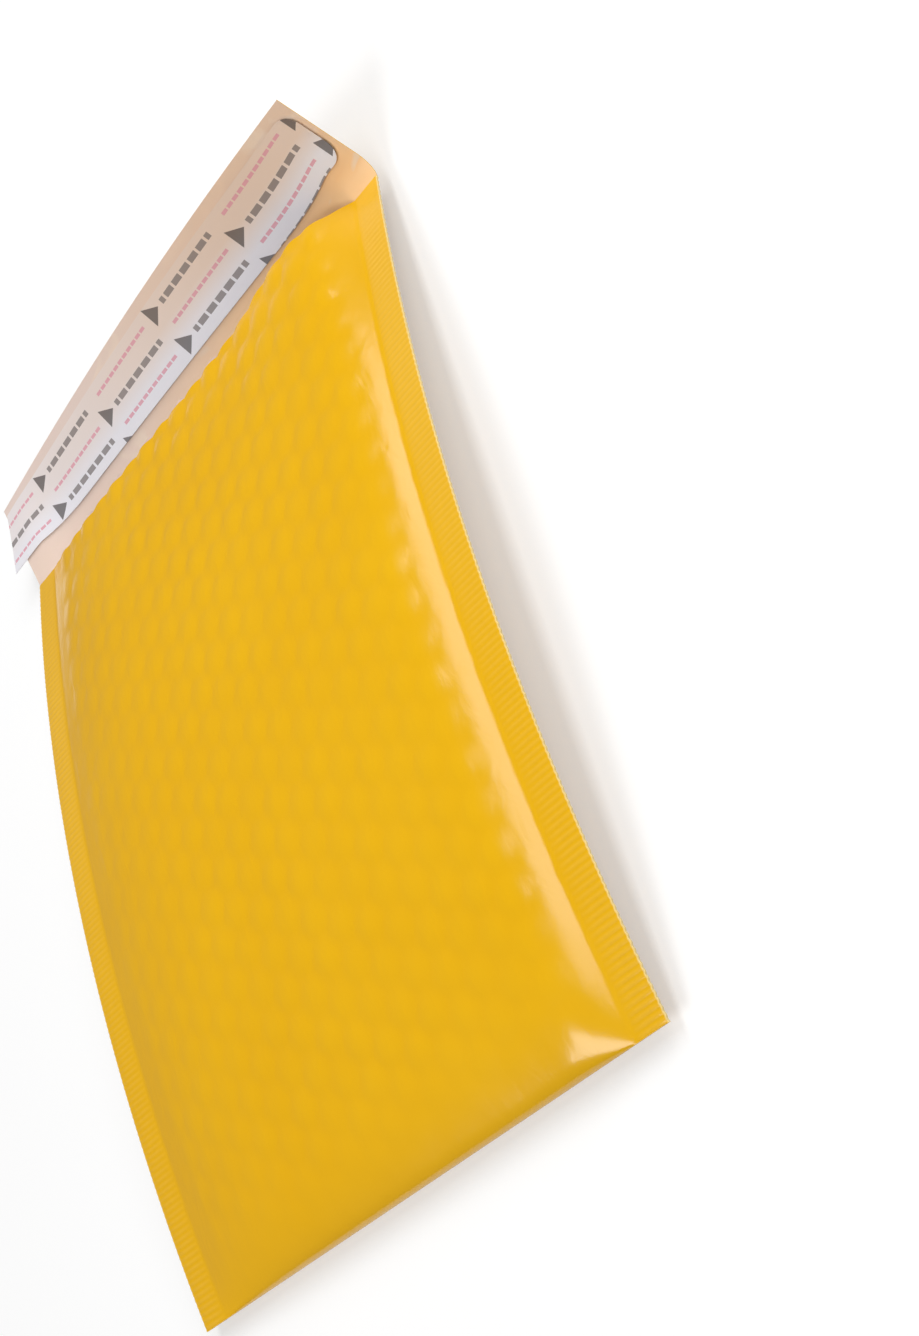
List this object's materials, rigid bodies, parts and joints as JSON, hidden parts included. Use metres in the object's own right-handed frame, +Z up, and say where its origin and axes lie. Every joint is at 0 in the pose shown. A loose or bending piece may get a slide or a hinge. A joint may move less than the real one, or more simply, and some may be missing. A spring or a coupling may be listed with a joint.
{
  "type": "padded envelope",
  "caption": "Yellow plastic film mailing envelope lined with bubble film, lying on its back with the sealing flap raised and the release liner still on the adhesive.",
  "frame": {"origin": "middle of the back wall's resting face, on the ground and halfway between the side seals, above the middle of the pocket's length", "axes": "+X across the width towards the seal whose end of the flap stands steeper, +Y from the bottom fold to the mouth, +Z up out of the front wall"},
  "size_m": [0.2245, 0.2966, 0.0352],
  "materials": {
    "yellow_film": "semi-gloss polyethylene film",
    "clear_bubble_film": "clear bubble film, milky in the stack",
    "hot_melt_adhesive": "tacky, pale",
    "silicone_liner": "silicone-coated, satin"
  },
  "bodies": {
    "root": {"outer_film": "yellow_film", "bubble_lining": "clear_bubble_film", "adhesive_strip": "hot_melt_adhesive", "release_liner": "silicone_liner"}
  },
  "joints": []
}
